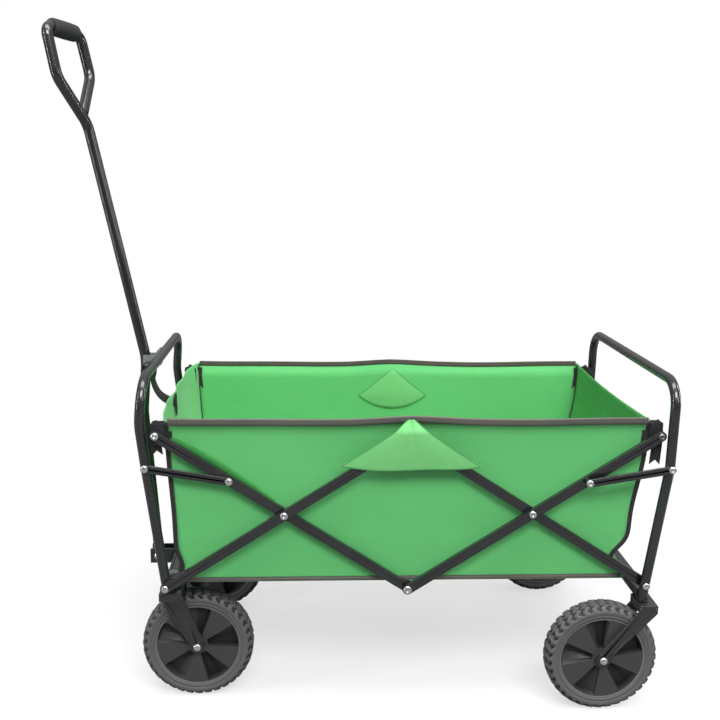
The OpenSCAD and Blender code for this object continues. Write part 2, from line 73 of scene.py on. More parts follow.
# %% Landmarks of the frame and the tub


def pin(joint):
    """The pivot of a joint, as a point at the middle of the wagon."""
    return Vector(JOINTS[joint]["pos_m"])


MID = pin("fold").x
FLOOR_LOW, FLOOR_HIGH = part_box("tub_floor")
END_LOW, END_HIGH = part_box("tub_front")
RIM_LOW, RIM_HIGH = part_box("rim_near")
FLOOR_Z = FLOOR_LOW.z
PANEL_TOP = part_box("tub_side_near")[1].z
RIM_Z = END_HIGH.z + 0.0005
FLOOR_HALF = FLOOR_HIGH.x - MID + 0.0035
RIM_HALF = MID - END_LOW.x
SIDE_Y = END_HIGH.y + 0.002
RIM_Y = -(RIM_LOW.y + RIM_HIGH.y) / 2 + 0.004
SIDES = (("near", -1), ("far", 1))
print("tub floor", round(FLOOR_HALF * 2, 3), "rim", round(RIM_HALF * 2, 3), "half width", round(SIDE_Y, 4))

# %% [markdown]
# ## Camera
# A lens of about 48 mm on a 36 mm sensor, some 1.8 m from the middle of the wagon, looks slightly down
# on its long side, from a place a little nearer to the handle than to the rear.

# %% Camera


def look(yaw, pitch, roll):
    """A camera's turn from its heading, its tilt down and its roll, in degrees."""
    yaw, pitch, roll = (math.radians(a) for a in (yaw, pitch, roll))
    ahead = Vector((math.sin(yaw) * math.cos(pitch), math.cos(yaw) * math.cos(pitch), -math.sin(pitch)))
    right = Vector((math.cos(yaw), -math.sin(yaw), 0))
    up = right.cross(ahead)
    right, up = (math.cos(roll) * right + math.sin(roll) * up, math.cos(roll) * up - math.sin(roll) * right)
    return Matrix((right, up, -ahead)).transposed()


LENS_MM = 48.36
SENSOR_MM = 36
CAMERA_AT = (MID - 0.1536, -1.6955, 0.8972)
HEADING, TILT, ROLL = 2.806, 11.66, 0.648

lens = bpy.data.cameras.new("camera")
lens.sensor_width = SENSOR_MM
lens.lens = LENS_MM
camera = bpy.data.objects.new("camera", lens)
bpy.context.scene.collection.objects.link(camera)
camera.matrix_world = Matrix.Translation(CAMERA_AT) @ look(HEADING, TILT, ROLL).to_4x4()
bpy.context.scene.camera = camera
print("camera at", [round(c, 3) for c in camera.location])

# %% [markdown]
# ## Sums on sockets
# A shader is a chain of small sums. Wiring them one by one hides the idea, so one small class wraps a
# socket and lets Python write the sum: `1 - wear * 0.3` adds the Math nodes for us.

# %% A socket that can be added and multiplied


class Wire:
    """A node's output that takes part in sums."""

    def __init__(self, finish, socket):
        self.finish = finish
        self.socket = socket

    def math(self, operation, a, b=0.0):
        return self.finish.node("ShaderNodeMath", {"operation": operation}, {0: a, 1: b})

    def __add__(self, other):
        return self.math("ADD", self, other)

    def __rsub__(self, other):
        return self.math("SUBTRACT", other, self)

    def __mul__(self, other):
        return self.math("MULTIPLY", self, other)

    def __abs__(self):
        return self.math("ABSOLUTE", self)

    __radd__ = __add__
    __rmul__ = __mul__


class Finish:
    """One material, built round its Principled shader."""

    def __init__(self, name, colour, roughness, metallic=0.0, **fixed):
        self.material = bpy.data.materials.new(name)
        self.material.use_nodes = True
        self.tree = self.material.node_tree
        self.shader = self.tree.nodes["Principled BSDF"]
        fixed = {key.replace("_", " "): value for key, value in fixed.items()}
        fixed.update({"Base Color": (*colour, 1), "Roughness": roughness, "Metallic": metallic})
        for label, value in fixed.items():
            self.shader.inputs[label].default_value = value

    def node(self, kind, settings=None, inputs=None, out=0):
        """Any node: its type, its settings first, then the values or wires of its sockets."""
        made = self.tree.nodes.new(kind)
        for key, value in (settings or {}).items():
            if key == "stops":
                for spot, (place, grey) in zip(made.color_ramp.elements, value):
                    spot.position = place
                    spot.color = (grey, grey, grey, 1)
            else:
                setattr(made, key, value)
        for key, value in (inputs or {}).items():
            if isinstance(value, Wire):
                self.tree.links.new(value.socket, made.inputs[key])
            else:
                made.inputs[key].default_value = value
        return Wire(self, made.outputs[out])

    def where(self, kind="Object"):
        return self.node("ShaderNodeTexCoord", {}, {}, kind)

    def noise(self, scale, detail):
        sockets = {"Vector": self.where(), "Scale": scale, "Detail": detail}
        return self.node("ShaderNodeTexNoise", {}, sockets)

    def step(self, wire, low, high):
        """0 below low and 1 above high."""
        return self.node("ShaderNodeValToRGB", {"stops": [(low, 0.0), (high, 1.0)]}, {0: wire})

    def mix(self, amount, a, b):
        return self.node("ShaderNodeMix", {"data_type": "RGBA"}, {0: amount, 6: (*a, 1), 7: (*b, 1)}, 2)

    def feed(self, label, wire):
        self.tree.links.new(wire.socket, self.shader.inputs[label])
        return self

    def bump(self, height, distance, strength=1.0):
        rise = self.node("ShaderNodeBump", {}, {"Strength": strength, "Distance": distance, "Height": height})
        return self.feed("Normal", rise)


# %% [markdown]
# ## Metal and plastic
# Powder coat is paint baked from dust: glossy, with a faint orange peel, and duller where hands and
# dirt reach it. Zinc is bright but brushed by the rolling mill. Plastic straight from a mould has a
# fine grain. Each is a base colour that varies a little, a roughness that varies more, and a bump.

# %% Powder coats, zinc, steel


def coat(name, colour, low, high, peel):
    f = Finish(name, colour, (low + high) / 2, Coat_Weight=0.6, Coat_Roughness=0.04)
    dirt = f.noise(14, 5)
    f.feed("Roughness", low + (high - low) * dirt)
    f.feed("Base Color", f.mix(f.step(dirt, 0.35, 0.75), colour, tuple(c * 1.5 + 0.002 for c in colour)))
    return f.bump(f.noise(650, 2), peel)


def metal(name, colour, low, high):
    f = Finish(name, colour, low, 1.0)
    dull = f.noise(60, 6)
    f.feed("Roughness", low + (high - low) * dull)
    f.feed("Base Color", f.mix(dull, colour, tuple(c * 0.78 for c in colour)))
    return f.bump(f.noise(900, 3), 0.00004)


BLACK_TUBE = coat("black_tube", (0.01, 0.0105, 0.0115), 0.12, 0.3, 0.00003)
BLACK_PRESSING = coat("black_pressing", (0.014, 0.0145, 0.0155), 0.24, 0.45, 0.00004)
ZINC = metal("zinc", (0.78, 0.79, 0.81), 0.16, 0.36)
DARK_ZINC = metal("dark_zinc", (0.2, 0.2, 0.21), 0.25, 0.45)
PLAIN_STEEL = metal("plain_steel", (0.5, 0.51, 0.53), 0.28, 0.5)
print("metal finishes made")

# %% Moulded plastic, rubber and foam


def moulded(name, colour, low, high, grain, depth, **fixed):
    f = Finish(name, colour, (low + high) / 2, **fixed)
    dust = f.noise(35, 6)
    f.feed("Roughness", low + (high - low) * dust)
    f.feed("Base Color", f.mix(f.step(dust, 0.4, 0.8), colour, tuple(c * 1.35 + 0.006 for c in colour)))
    return f.bump(f.noise(grain, 3), depth)


CLIP_PLASTIC = moulded("clip_plastic", (0.15, 0.155, 0.16), 0.1, 0.24, 500, 0.00003, Coat_Weight=0.4)
CAP_PLASTIC = moulded("cap_plastic", (0.012, 0.0125, 0.0135), 0.4, 0.6, 1500, 0.00008)
HUB_PLASTIC = moulded("hub_plastic", (0.042, 0.0425, 0.044), 0.42, 0.62, 1800, 0.00006)
TYRE_RUBBER = moulded("tyre_rubber", (0.058, 0.058, 0.059), 0.5, 0.74, 1200, 0.0001)
# The meshes of tyres and hubs carry a groove value: 0 on their faces, 1 deep in a groove or pocket. From it
# the tyre's colour gets painted shade: the grooves are painted much darker than the tread faces.
groove_shade = TYRE_RUBBER.node("ShaderNodeAttribute", {"attribute_name": "groove"}, {}, 2)
TYRE_RUBBER.feed("Base Color", TYRE_RUBBER.mix(groove_shade, (0.1, 0.1, 0.101), (0.014, 0.014, 0.0145)))
# Painted shade: the hub's pockets are painted darker than its spokes and rim.
deep = HUB_PLASTIC.node("ShaderNodeAttribute", {"attribute_name": "groove"}, {}, 2)
HUB_PLASTIC.feed("Base Color", HUB_PLASTIC.mix(deep, (0.042, 0.0425, 0.044), (0.009, 0.009, 0.0095)))
GRIP_FOAM = moulded("grip_foam", (0.016, 0.0165, 0.018), 0.75, 0.95, 1300, 0.0004)
print("moulded finishes made")

# %% [markdown]
# ## Cloth
# Woven polyester is two sets of threads that pass over and under each other. The threads are drawn
# from the sheet's own flat measure (its UV map, in metres), so the weave follows the cloth wherever it
# bends. A slow second noise gives the soft mottling of a coated fabric, and a bump its slack.

# %% Woven finishes


def woven(name, colour, shade, threads, depth, slack=0.0, **fixed):
    f = Finish(name, colour, 0.8, **fixed)
    flat = f.node("ShaderNodeSeparateXYZ", {}, {0: f.where("UV")})
    down = Wire(f, flat.socket.node.outputs[1])
    warp = f.node("ShaderNodeMath", {"operation": "SINE"}, {0: flat * (math.pi * threads)})
    weft = f.node("ShaderNodeMath", {"operation": "SINE"}, {0: down * (math.pi * threads)})
    over = f.node("ShaderNodeMath", {"operation": "GREATER_THAN"}, {0: warp * weft, 1: 0.0})
    thread = abs(warp) * over + abs(weft) * (1 - over)
    mottle = f.noise(7, 5)
    fleck = f.noise(420, 2)
    f.feed("Base Color", f.mix(0.6 * mottle + 0.25 * fleck + 0.15 * (1 - thread), colour, shade))
    f.feed("Roughness", 0.62 + 0.25 * mottle + 0.08 * thread)
    return f.bump(thread * depth + f.noise(9, 4) * slack, 1.0)


GREEN_FABRIC = woven("green_fabric", (0.12, 0.53, 0.165), (0.078, 0.4, 0.112), 1500, 0.00008, 0.004,
                     Sheen_Weight=0.15, Sheen_Roughness=0.5)
GREEN_END = woven("green_end", (0.115, 0.52, 0.15), (0.08, 0.41, 0.11), 1500, 0.00008, 0.006,
                  Sheen_Weight=0.15, Sheen_Roughness=0.5)
GREEN_INNER = woven("green_inner", (0.1, 0.47, 0.13), (0.075, 0.38, 0.1), 1500, 0.00008, 0.003)
GREEN_FLAP = woven("green_flap", (0.17, 0.53, 0.18), (0.115, 0.43, 0.13), 1500, 0.00008, 0.002,
                   Sheen_Weight=0.2, Sheen_Roughness=0.4)
RIM_WEBBING = woven("rim_webbing", (0.2, 0.195, 0.175), (0.075, 0.07, 0.06), 700, 0.0003)
BLACK_WEBBING = woven("black_webbing", (0.026, 0.026, 0.028), (0.014, 0.014, 0.015), 800, 0.00025)
# A deep green copy of the fabric: painted shade for the shaded side of the pinched fold.
GREEN_CREASE_SHADE = woven("green_crease_painted_shade", (0.028, 0.26, 0.045), (0.02, 0.18, 0.03), 1500, 0.00008, 0.004)
# A darker copy of the end fabric: painted shade for the inside of the rear end panel.
GREEN_PAINTED_SHADE = woven("green_painted_shade", (0.062, 0.36, 0.08), (0.04, 0.27, 0.055), 1500, 0.00008, 0.006)
# A darker copy of the rim webbing: painted shade for the far hem's shaded inside face.
SHADED_HEM_WEBBING = woven("hem_webbing_painted_shade", (0.075, 0.066, 0.052), (0.04, 0.036, 0.03), 700, 0.0003)
THREAD = woven("thread", (0.06, 0.3, 0.08), (0.04, 0.22, 0.06), 2500, 0.0001)
print("woven finishes made")

# %% [markdown]
# ## Three ways to make a piece
# Most of the wagon comes from three moves of a maker: **lay** a sheet (a grid of points that a function
# places), **turn** a profile on a lathe (rivets, tyres, grips) and **draw** a section along a path
# (straps, seams, ribs). Each helper below does one of them and leaves a smooth, named mesh.

# %% Meshes from points


def piece(name, points, faces, finish, flat=None, smooth=True):
    """A mesh object from points and faces; flat gives each point's place on the cloth, in metres."""
    mesh = bpy.data.meshes.new(name)
    mesh.from_pydata([tuple(p) for p in points], [], faces)
    mesh.update()
    if flat is not None:
        layer = mesh.uv_layers.new(name="flat")
        order = np.zeros(len(mesh.loops), dtype=np.int32)
        mesh.loops.foreach_get("vertex_index", order)
        layer.data.foreach_set("uv", np.asarray(flat, dtype=np.float32)[order].ravel())
    mesh.polygons.foreach_set("use_smooth", [smooth] * len(mesh.polygons))
    mesh.materials.append(finish.material)
    made = bpy.data.objects.new(name, mesh)
    bpy.context.scene.collection.objects.link(made)
    return made


def grid_faces(rows, columns, closed=False):
    faces = []
    for i in range(rows - 1):
        for j in range(columns if closed else columns - 1):
            k = (j + 1) % columns
            faces.append((i * columns + j, i * columns + k, (i + 1) * columns + k, (i + 1) * columns + j))
    return faces


def thicken(made, thickness, offset=0.0):
    solid = made.modifiers.new("thickness", "SOLIDIFY")
    solid.thickness = thickness
    solid.offset = offset
    return made


# %% Laying a sheet


def lay(name, place, across, down, flat, finish, thickness=0.0011):
    """A sheet over (u, v) from 0 to 1 that place(u, v) puts in space; flat is its cut size."""
    us = np.linspace(0, 1, across)
    vs = np.linspace(0, 1, down)
    points = [place(u, v) for v in vs for u in us]
    cloth = [(u * flat[0], v * flat[1]) for v in vs for u in us]
    made = piece(name, points, grid_faces(down, across), finish, cloth)
    made["area"] = sum(face.area for face in made.data.polygons)
    return thicken(made, thickness)


# %% Turning on the lathe


def turn(name, turned, finish, steps=40):
    """Closed profiles of (radius, height) turned about lines along Y, as one mesh. Each one turned is
    its profile, the point that it stands on, and +1 or -1 for the way that its heights grow."""
    points, faces = [], []
    for profile, spot, way in turned:
        first = len(points)
        for r, h in profile:
            for k in range(steps):
                a = 2 * math.pi * k / steps
                points.append((spot[0] + r * math.cos(a), spot[1] + way * h, spot[2] + r * math.sin(a)))
        last = first + (len(profile) - 1) * steps
        ring = [tuple(first + c for c in face) for face in grid_faces(len(profile), steps, True)]
        ring += [tuple(first + k for k in range(steps))[::-1], tuple(last + k for k in range(steps))]
        faces += ring if way > 0 else [face[::-1] for face in ring]
    return piece(name, points, faces, finish)


# %% Drawing a section along a path


def draw(name, path, ups, section, finish, taper=None):
    """A closed section of (side, up) offsets carried along a path; ups are the section's up vectors."""
    path = [Vector(p) for p in path]
    points, cloth, run = [], [], 0.0
    for i, spot in enumerate(path):
        ahead = (path[min(i + 1, len(path) - 1)] - path[max(i - 1, 0)]).normalized()
        up = Vector(ups[i] if isinstance(ups, list) else ups)
        up = (up - up.dot(ahead) * ahead).normalized()
        side = ahead.cross(up)
        run += (spot - path[max(i - 1, 0)]).length
        size = taper[i] if taper else 1.0
        for a, b in section:
            points.append(spot + side * a * size + up * b)
            cloth.append((run, a + b))
    n = len(section)
    faces = grid_faces(len(path), n, True)
    faces += [tuple(range(n))[::-1], tuple((len(path) - 1) * n + k for k in range(n))]
    return piece(name, points, faces, finish, cloth)


def strip(width, thick, corner=6):
    """The section of a flat band with rounded edges."""
    half, r = width / 2 - thick / 2, thick / 2
    arc = [math.pi * k / corner for k in range(corner + 1)]
    left = [(-half - r * math.sin(a), -r * math.cos(a)) for a in arc]
    right = [(half + r * math.sin(a), r * math.cos(a)) for a in arc]
    return left + right


def smooth_path(points, steps=10):
    """A soft curve through a few points (Catmull-Rom)."""
    points = [Vector(p) for p in points]
    ends = [2 * points[0] - points[1], *points, 2 * points[-1] - points[-2]]
    out = []
    for a, b, c, d in zip(ends, ends[1:], ends[2:], ends[3:]):
        for k in range(steps):
            t = k / steps
            out.append(0.5 * (2 * b + (c - a) * t + (2 * a - 5 * b + 4 * c - d) * t**2
                              + (3 * b - a - 3 * c + d) * t**3))
    return [*out, points[-1]]


print("helpers ready")

# %% [markdown]
# ## Dressing the rigid parts
# The bars, tubes and brackets keep their CAD shape. A real edge is never razor sharp, and it is the
# rounded edge that catches the light, so a small bevel goes on every part that is pressed or sawn.
# The welded copy of the mesh and the bevel are modifiers: the CAD mesh itself stays as it is.

# %% Finishes and bevels on the CAD parts


def dress(nodes, finish, bevel=0.0):
    for name in nodes.split():
        made = NODES[name]
        made.data.materials.clear()
        made.data.materials.append(finish.material)
        if bevel:
            weld = made.modifiers.new("weld", "WELD")
            weld.merge_threshold = 0.00001
            edge = made.modifiers.new("edge", "BEVEL")
            edge.width = bevel
            edge.segments = 3
            edge.limit_method = "ANGLE"
            edge.angle_limit = math.radians(40)
            edge.harden_normals = True


dress("front_hoop rear_hoop handle_tube centre_tube", BLACK_TUBE)
dress("front_arms rear_arms front_braces rear_braces", BLACK_TUBE, 0.0022)
dress("front_links rear_links front_beam rear_beam", BLACK_TUBE, 0.0008)
dress("front_feet rear_forks handle_bracket castor_near_fork castor_far_fork", BLACK_PRESSING, 0.0009)
dress("handle_clip", CLIP_PLASTIC, 0.0014)
dress("front_corner_caps rear_corner_caps", CAP_PLASTIC, 0.0035)
dress("centre_rod castor_near_kingpin castor_far_kingpin front_arm_washers", PLAIN_STEEL, 0.0004)
print("bevelled", sum(1 for made in NODES.values() if "edge" in made.modifiers), "CAD parts")

# %% [markdown]
# ## Rivets and bolts
# A rivet is a pin with a pressed dome at one end and a flattened ring at the other. Turned on the
# lathe, each takes its place and its reach from the CAD pin that it stands for: the pins of a node are
# found by where their points lie, near side first, and the far side is their mirror.

# %% Domed rivets in place of the CAD pins


def reach(node, x, z, side=-1, within=0.011):
    """How far the pin at (x, z) of a CAD node reaches on one side: its outer and inner distance."""
    ys = [v.co.y * side for v in NODES[node].data.vertices
          if v.co.y * side > 0 and abs(v.co.x - x) < within and abs(v.co.z - z) < within]
    return max(ys), min(ys)


def dome(outer, inner, radius, height, dimple=0.0, pin_radius=0.003):
    """A rivet's profile from the top of its dome to its far end; heights grow outwards."""
    base = outer - height
    arc = [(radius * math.sin(a), base + height * math.cos(a) ** 0.8) for a in np.linspace(0.03, 1.45, 10)]
    if dimple:
        arc[:3] = [(radius * 0.08, outer - dimple), (radius * 0.3, outer - dimple * 0.9),
                   (radius * 0.36, outer)]
    skirt = [(radius, base + height * 0.1), (radius * 0.97, base), (pin_radius, base)]
    foot = [(pin_radius, inner + 0.0012), (pin_radius + 0.0018, inner + 0.0011),
            (pin_radius + 0.0018, inner + 0.0002), (pin_radius * 0.7, inner)]
    return (arc + skirt + foot)[::-1]


def rivets(node, body, places, radius, height, finish, dimple=0.0, sides=(-1, 1)):
    """All the rivets of one CAD node as one piece; places are (x, z)."""
    turned = []
    for x, z in places:
        for side in sides:
            outer, inner = reach(node, x, z, side)
            turned.append((dome(outer, inner, radius, height, dimple), (x, 0, z), side))
    made = turn(f"{node}_domed", turned, finish, 32)
    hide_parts(node)
    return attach(made, body)


def at(joint):
    return pin(joint).x, pin(joint).z


def other_end(node, joint):
    """The middle of the pin at the far end of a link, from the box of the link's rivets."""
    low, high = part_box(node)
    x = low.x + 0.0062 if high.x - pin(joint).x < pin(joint).x - low.x else high.x - 0.0062
    return x, high.z - 0.0062


def centre_of(node):
    low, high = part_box(node)
    return (low.x + high.x) / 2, (low.z + high.z) / 2


rivets("front_cross_rivets", "front_arms", [at("front_scissor")], 0.0064, 0.0032, ZINC, 0.001)
rivets("rear_cross_rivets", "rear_arms", [at("rear_scissor")], 0.0064, 0.0032, ZINC, 0.001)
rivets("upper_centre_rivets", "front_braces", [centre_of("upper_centre_rivets")], 0.0062, 0.0032, ZINC)
rivets("centre_heads", "centre", [at("fold")], 0.0072, 0.0032, ZINC, 0.0012)
rivets("front_link_rivets", "front_links",
       [at("front_link"), other_end("front_link_rivets", "front_link")], 0.0062, 0.0032, ZINC)
rivets("rear_link_rivets", "rear_links",
       [at("rear_link"), other_end("rear_link_rivets", "rear_link")], 0.0062, 0.0032, ZINC, 0.001)
rivets("front_foot_bolts", "front_frame", [at("front_foot")], 0.0062, 0.0032, ZINC)
rivets("rear_foot_bolts", "rear_frame", [at("rear_foot")], 0.0062, 0.0032, ZINC)
rivets("front_corner_screws", "front_corners", [at("front_corner")], 0.0065, 0.0038, ZINC, 0.0014)
rivets("rear_corner_screws", "rear_corners", [at("rear_corner")], 0.0065, 0.0038, DARK_ZINC, 0.0014)
print("rivets turned")

# %% Axle bolts: a domed cap outside, a hexagon nut inside


def axle_bolt(node, body, joint, sides):
    x, z = at(joint)
    caps, nuts = [], []
    for side in sides:
        outer, inner = reach(node, x, z, side, 0.012)
        caps.append((dome(outer, inner + 0.005, 0.0068, 0.0045, 0.0, 0.005), (x, 0, z), side))
        nut = [(0.0078, inner), (0.0092, inner + 0.0008), (0.0092, inner + 0.0046), (0.0078, inner + 0.005)]
        nuts.append((nut, (x, 0, z), side))
    cap = turn(f"{node}_cap", caps, ZINC, 32)
    nut = turn(f"{node}_nut", nuts, ZINC, 6)
    nut.data.polygons.foreach_set("use_smooth", [False] * len(nut.data.polygons))
    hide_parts(node)
    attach(cap, body)
    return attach(nut, body)


axle_bolt("rear_axles", "rear_frame", "spin_rear_near", (-1, 1))
axle_bolt("castor_near_axle", "castor_near", "spin_front_near", (-1,))
axle_bolt("castor_far_axle", "castor_far", "spin_front_far", (1,))
dress("handle_hinge_bolt", ZINC, 0.0008)
print("bolts turned")

# %% [markdown]
# ## Wheels
# A wagon tyre is one solid ring of rubber. Its tread is the eye's measure of scale: zigzag grooves run
# across it, and short cuts join them a third of the way out to each side. The ring is a fine grid, and
# the grooves are pressed into it, by taking radius away where a point falls in a groove.

# %% The tyre, with its zigzag cleats

WHEEL_LOW, WHEEL_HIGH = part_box("wheel_rear_near_tyre")
HUB_LOW, HUB_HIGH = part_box("wheel_rear_near_hub")
WHEEL_R = (WHEEL_HIGH.z - WHEEL_LOW.z) / 2
TYRE_HALF = (WHEEL_HIGH.y - WHEEL_LOW.y) / 2
HUB_R = (HUB_HIGH.z - HUB_LOW.z) / 2
CLEATS = 36
TREAD = 0.0046


def tread_depth(angle, y):
    """How deep the groove is at a point of the tread, in metres."""
    pitch = 2 * math.pi / CLEATS
    row = y / TYRE_HALF
    zigzag = 0.28 * pitch * (2 * abs((row * 2.0) % 1.0 - 0.5) * 2 - 1)
    off = ((angle + zigzag) / pitch) % 1.0
    groove = max(0.0, 1 - abs(off - 0.5) / 0.3)
    centre = max(0.0, 1 - abs(abs(row) - 0.33) / 0.06) if int(2 * off) else 0.0
    return TREAD * min(1.0, 1.6 * max(groove, 0.8 * centre))


def tyre_mesh():
    h, r = TYRE_HALF, WHEEL_R
    wall = [(HUB_R - 0.001, h - 0.0035), (HUB_R + 0.0015, h - 0.0022), (HUB_R + 0.003, h - 0.0024),
            (HUB_R + 0.0036, h - 0.0012), (HUB_R + 0.0062, h - 0.0011), (HUB_R + 0.0068, h - 0.0018),
            (HUB_R + 0.0078, h - 0.0009), (r - 0.0105, h - 0.0002), (r - 0.0082, h - 0.0007)]
    shoulder = [(r - 0.0055, h - 0.002), (r - 0.0032, h - 0.004),
                (r - 0.0014, h - 0.0064), (r - 0.0004, h - 0.009)]
    crown = [(r, y) for y in np.linspace(h - 0.0105, 0, 12)]
    half = wall + shoulder + crown
    section = half + [(a, -y) for a, y in half[-2::-1]]
    steps = CLEATS * 12
    points, grooves = [], []
    for radius, y in section:
        for k in range(steps):
            angle = 2 * math.pi * k / steps
            deep = tread_depth(angle, y) * min(1.0, max(0.0, (radius - (r - 0.0085)) / 0.004))
            points.append(((radius - deep) * math.cos(angle), y, (radius - deep) * math.sin(angle)))
            grooves.append(min(1.0, deep / (0.7 * TREAD)))
    radius, y = HUB_R - 0.001, -h + 0.0035
    for k in range(steps):
        angle = 2 * math.pi * k / steps
        points.append((radius * math.cos(angle), y, radius * math.sin(angle)))
        grooves.append(0.0)
    return points, grid_faces(len(section) + 1, steps, True), grooves


def put_wheel(node, body, joint, points, faces, finish, turned=0.0, smooth=True):
    low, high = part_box(node)
    made = piece(f"{node}_moulded", points, faces, finish, smooth=smooth)
    made.matrix_world = (Matrix.Translation((pin(joint).x, (low.y + high.y) / 2, pin(joint).z))
                         @ Matrix.Rotation(math.radians(-turned), 4, "Y"))
    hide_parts(node)
    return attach(made, body)


WHEELS = {"wheel_front_near": "spin_front_near", "wheel_front_far": "spin_front_far",
          "wheel_rear_near": "spin_rear_near", "wheel_rear_far": "spin_rear_far"}
tyre_points, tyre_faces, tyre_grooves = tyre_mesh()
for wheel, joint in WHEELS.items():
    made = put_wheel(f"{wheel}_tyre", wheel, joint, tyre_points, tyre_faces, TYRE_RUBBER)
    # The groove value drives the painted shade in the tread's grooves.
    made.data.attributes.new("groove", "FLOAT", "POINT").data.foreach_set("value", tyre_grooves)
print("tyres", len(tyre_points), "points each")

# %% [markdown]
# The hub is one moulding: five broad flat spokes flush with the rim, and between them pockets whose
# floor is deep along one spoke and slopes up towards the next. Seen as a landscape it is only a height
# over each spot of a disc, so it is laid as a polar grid; each pocket wall is a pair of rings or rays
# set close together.

# %% The hub, as heights over a disc

SPOKES = 5
POCKET = math.radians(17.5)
FACE = (HUB_HIGH.y - HUB_LOW.y) / 2 - 0.0035


def hub_height(angle, radius):
    """The height of the hub's face: flat on rim, spokes and middle, and sunk in the pockets."""
    if radius > HUB_R - 0.0048 or radius < 0.0165:
        return FACE
    off = (angle + math.pi / SPOKES) % (2 * math.pi / SPOKES) - math.pi / SPOKES
    if abs(off) > POCKET:
        return FACE
    across = off / POCKET
    slope = 0.012 if across < -0.1 else 0.012 - 0.0075 * (across + 0.1) / 1.1
    return FACE - slope - 0.002 * (radius / HUB_R)


def hub_mesh():
    rays = []
    for k in range(SPOKES):
        middle = 2 * math.pi * k / SPOKES
        rays += [middle + a for a in np.linspace(-POCKET, POCKET, 9)]
        rays += [middle - POCKET - 0.008, middle + POCKET + 0.008]
        rays += [middle + a for a in np.linspace(POCKET + 0.05, 2 * math.pi / SPOKES - POCKET - 0.05, 5)]
    rays = sorted(a % (2 * math.pi) for a in rays)
    n = len(rays)
    radii = [0.0052, 0.0125, 0.0129, 0.0164, 0.0168, 0.03, 0.045,
             HUB_R - 0.0052, HUB_R - 0.0048, HUB_R - 0.0015, HUB_R]
    points = []
    for side in (1, -1):
        for radius in radii:
            for a in rays:
                h = hub_height(a, radius)
                h = FACE + 0.0034 if radius < 0.0127 else h
                h = h - 0.0012 if radius > HUB_R - 0.0005 else h
                points.append((radius * math.cos(a), -side * h, radius * math.sin(a)))
    rows = len(radii)
    near = grid_faces(rows, n, True)
    far = [tuple(rows * n + c for c in face[::-1]) for face in near]
    near_rim, far_rim = (rows - 1) * n, (2 * rows - 1) * n
    rim = [(near_rim + k, near_rim + (k + 1) % n, far_rim + (k + 1) % n, far_rim + k) for k in range(n)]
    bore = [(k, rows * n + k, rows * n + (k + 1) % n, (k + 1) % n) for k in range(n)]
    return points, near + far + rim + bore


hub_points, hub_faces = hub_mesh()
for wheel, joint in WHEELS.items():
    made = put_wheel(f"{wheel}_hub", wheel, joint, hub_points, hub_faces, HUB_PLASTIC,
                     14 if "front" in wheel else 28, smooth=False)
    # sunk is how deep a point lies in a pocket; it drives the hub's painted shade.
    sunk = [min(1.0, max(0.0, (FACE - abs(p[1]) - 0.004) / 0.009)) for p in hub_points]
    made.data.attributes.new("groove", "FLOAT", "POINT").data.foreach_set("value", sunk)
    edge = made.modifiers.new("edge", "BEVEL")
    edge.width, edge.segments, edge.angle_limit = 0.0007, 2, math.radians(35)
print("hubs", len(hub_points), "points each")

# %% [markdown]
# ## The tub
# The tub is sewn from flat pieces: two long sides, two ends and a floor. Hung by its four corners it
# takes the shape that tension gives it. The sides run straight up inside the bars, and only above the
# pivots do they lean out to the hem. Each panel is one sheet whose place is a formula, with a little
# slack between its corners, and the same formula places the hems that are sewn along its edges.

# %% The shape of the tub


def ease(t):
    t = min(1.0, max(0.0, t))
    return t * t * (3 - 2 * t)


def half_width(z):
    """The tub's half width at a height: straight, then leaning out to the hem."""
    return SIDE_Y + (RIM_Y - SIDE_Y) * ease((z - PANEL_TOP + 0.004) / (RIM_Z - PANEL_TOP + 0.004))


def half_length(z):
    return FLOOR_HALF + (RIM_HALF - FLOOR_HALF) * (z - FLOOR_Z) / (RIM_Z - FLOOR_Z)


def rim_wave(x):
    """The hem isn't quite straight: it is lifted where the dart sits over the middle pivots."""
    t = (x - MID) / RIM_HALF
    lift = 0.0028 * math.exp(-((t / 0.16) ** 2))
    sag = 0.0022 * math.sin(abs(t) * math.pi)
    ripple = 0.0006 * math.sin(9 * t + 0.6)
    return lift - sag + ripple


def edge_pull(z, end):
    """How far the corner seam is drawn in above the floor, at the front (-1) or the rear (+1)."""
    up = z - FLOOR_Z
    depth, height, reach = (0.010, 0.026, 0.020) if end < 0 else (0.032, 0.034, 0.026)
    waist = depth * math.exp(-(((up - height) / reach) ** 2))
    return waist + (0.003 if end < 0 else 0.013) * math.sin(math.pi * ease((up + 0.03) / 0.26))


def slack(x, z, size, seed):
    return size * noise.noise(Vector((x * 5.0 + seed, z * 9.0, seed * 3.1)))


SIDE_SEED = {-1: 1.0, 1: 8.0}


def side_place(side):
    """The place on the near (-1) or far (+1) side panel, for u along it and v up it."""
    seed = SIDE_SEED[side]

    def place(u, v):
        z = FLOOR_Z - 0.002 + (RIM_Z - FLOOR_Z + 0.002) * v
        span = half_length(z) - 0.0015 - edge_pull(z, 2 * u - 1) * abs(2 * u - 1)
        x = MID + (2 * u - 1) * span
        room = math.sin(math.pi * min(1, max(0, v))) * (1 - abs(2 * u - 1) ** 6)
        y = half_width(z) + slack(x, z, 0.0021, seed) * room
        return Vector((x, side * y, z + rim_wave(x) * ease((v - 0.75) / 0.25)))
    return place


